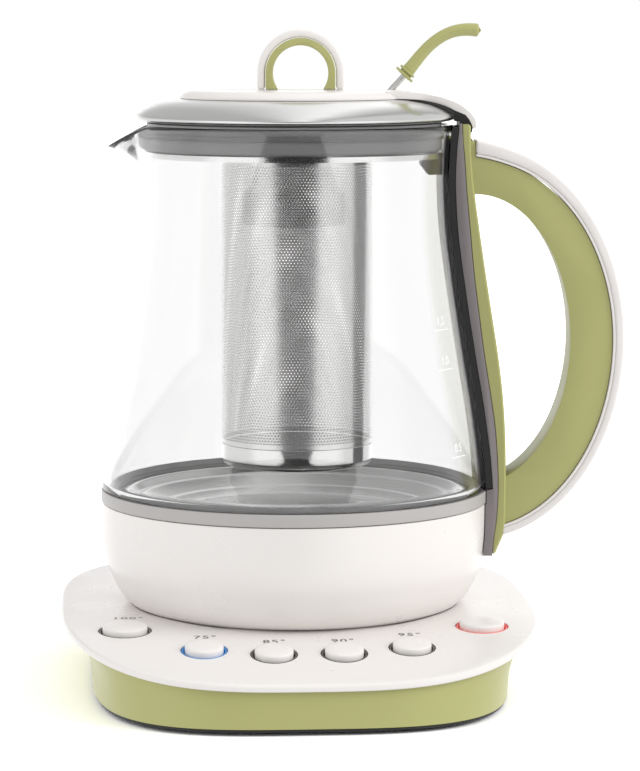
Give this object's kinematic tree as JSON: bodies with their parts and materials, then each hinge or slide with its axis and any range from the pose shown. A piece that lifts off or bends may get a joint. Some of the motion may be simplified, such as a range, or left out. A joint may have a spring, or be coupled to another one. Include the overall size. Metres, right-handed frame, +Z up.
{
  "type": "electric tea kettle",
  "caption": "Glass electric kettle with a hinged lid, hanging infuser basket and heated housing, lifting off a power base with sprung temperature buttons.",
  "frame": {"origin": "centre of the bounding box, on the table under the feet", "axes": "+Z up, +X from the spout to the handle, -Y to the front with the buttons; the power base is turned 4 degrees anticlockwise under the jug, as pictured"},
  "size_m": [0.2242, 0.2262, 0.2605],
  "materials": {
    "black_plastic": "black moulded plastic, matt",
    "black_rubber": "black rubber",
    "blue_light_guide": "blue light guide, gloss",
    "borosilicate_glass": "clear blown borosilicate glass",
    "brushed_steel": "brushed stainless steel",
    "cast_aluminium": "cast aluminium, raw",
    "circuit_board": "green glass-fibre board",
    "green_abs": "soft olive green moulded ABS, satin",
    "grey_abs": "warm grey moulded plastic, fine matt",
    "grey_silicone": "grey translucent silicone",
    "polished_steel": "polished stainless steel",
    "red_light_guide": "red light guide, gloss",
    "white_abs": "warm white moulded ABS, satin to gloss"
  },
  "bodies": {
    "base": {"base_bottom_cover": "black_plastic", "base_connector": "black_plastic", "base_foot_1": "black_rubber", "base_foot_2": "black_rubber", "base_foot_3": "black_rubber", "base_foot_4": "black_rubber", "base_screw_1": "polished_steel", "base_screw_2": "polished_steel", "base_screw_3": "polished_steel", "base_screw_4": "polished_steel", "base_skirt": "green_abs", "base_top_plate": "white_abs", "control_board": "circuit_board", "cord_gland": "black_plastic", "ring_heat_100": "grey_abs", "ring_heat_75": "blue_light_guide", "ring_heat_85": "grey_abs", "ring_heat_90": "grey_abs", "ring_heat_95": "grey_abs", "ring_power": "red_light_guide"},
    "jug": {"basket_collar": "polished_steel", "basket_cup": "polished_steel", "basket_wall": "brushed_steel", "collar_lug": "grey_abs", "glass_jug": "borosilicate_glass", "glass_seal": "grey_silicone", "handle_cover": "white_abs", "handle_shell": "green_abs", "handle_spine": "grey_abs", "heat_diffuser": "cast_aluminium", "heating_element": "polished_steel", "heating_plate": "brushed_steel", "hinge_pin": "polished_steel", "housing_floor": "white_abs", "kettle_connector": "black_plastic", "lower_housing": "white_abs", "temperature_sensor": "polished_steel", "trim_band": "grey_abs"},
    "lid": {"hinge_knuckle": "black_plastic", "knob_arch": "white_abs", "knob_insert": "green_abs", "lever_grip": "green_abs", "lever_rod": "polished_steel", "lid_core": "grey_abs", "lid_dome": "polished_steel", "lid_gasket": "grey_silicone", "lid_top_plate": "white_abs"},
    "button_heat_100_cap": {"button_heat_100": "white_abs"},
    "button_heat_75_cap": {"button_heat_75": "white_abs"},
    "button_heat_85_cap": {"button_heat_85": "white_abs"},
    "button_heat_90_cap": {"button_heat_90": "white_abs"},
    "button_heat_95_cap": {"button_heat_95": "white_abs"},
    "button_power_cap": {"button_power": "white_abs"}
  },
  "joints": [
    {"name": "jug_lift", "type": "slide", "parent": "base", "child": "jug", "axis": [0, 0, 1], "range_m": [0, 0.05]},
    {"name": "lid_hinge", "type": "hinge", "parent": "jug", "child": "lid", "pos_m": [0.0496, 0.00224, 0.2193], "axis": [0, 1, 0], "range_deg": [0, 95]},
    {"name": "press_heat_100", "type": "slide", "parent": "base", "child": "button_heat_100_cap", "axis": [-0.0056, 0.0805, -0.9967], "range_m": [0, 0.0012], "stiffness_N_per_m": 500},
    {"name": "press_heat_75", "type": "slide", "parent": "base", "child": "button_heat_75_cap", "axis": [-0.0117, 0.1677, -0.9858], "range_m": [0, 0.0012], "stiffness_N_per_m": 500},
    {"name": "press_heat_85", "type": "slide", "parent": "base", "child": "button_heat_85_cap", "axis": [-0.0129, 0.1852, -0.9826], "range_m": [0, 0.0012], "stiffness_N_per_m": 500},
    {"name": "press_heat_90", "type": "slide", "parent": "base", "child": "button_heat_90_cap", "axis": [-0.0129, 0.1852, -0.9826], "range_m": [0, 0.0012], "stiffness_N_per_m": 500},
    {"name": "press_heat_95", "type": "slide", "parent": "base", "child": "button_heat_95_cap", "axis": [-0.0117, 0.1677, -0.9858], "range_m": [0, 0.0012], "stiffness_N_per_m": 500},
    {"name": "press_power", "type": "slide", "parent": "base", "child": "button_power_cap", "axis": [-0.0056, 0.0805, -0.9967], "range_m": [0, 0.0012], "stiffness_N_per_m": 500}
  ]
}
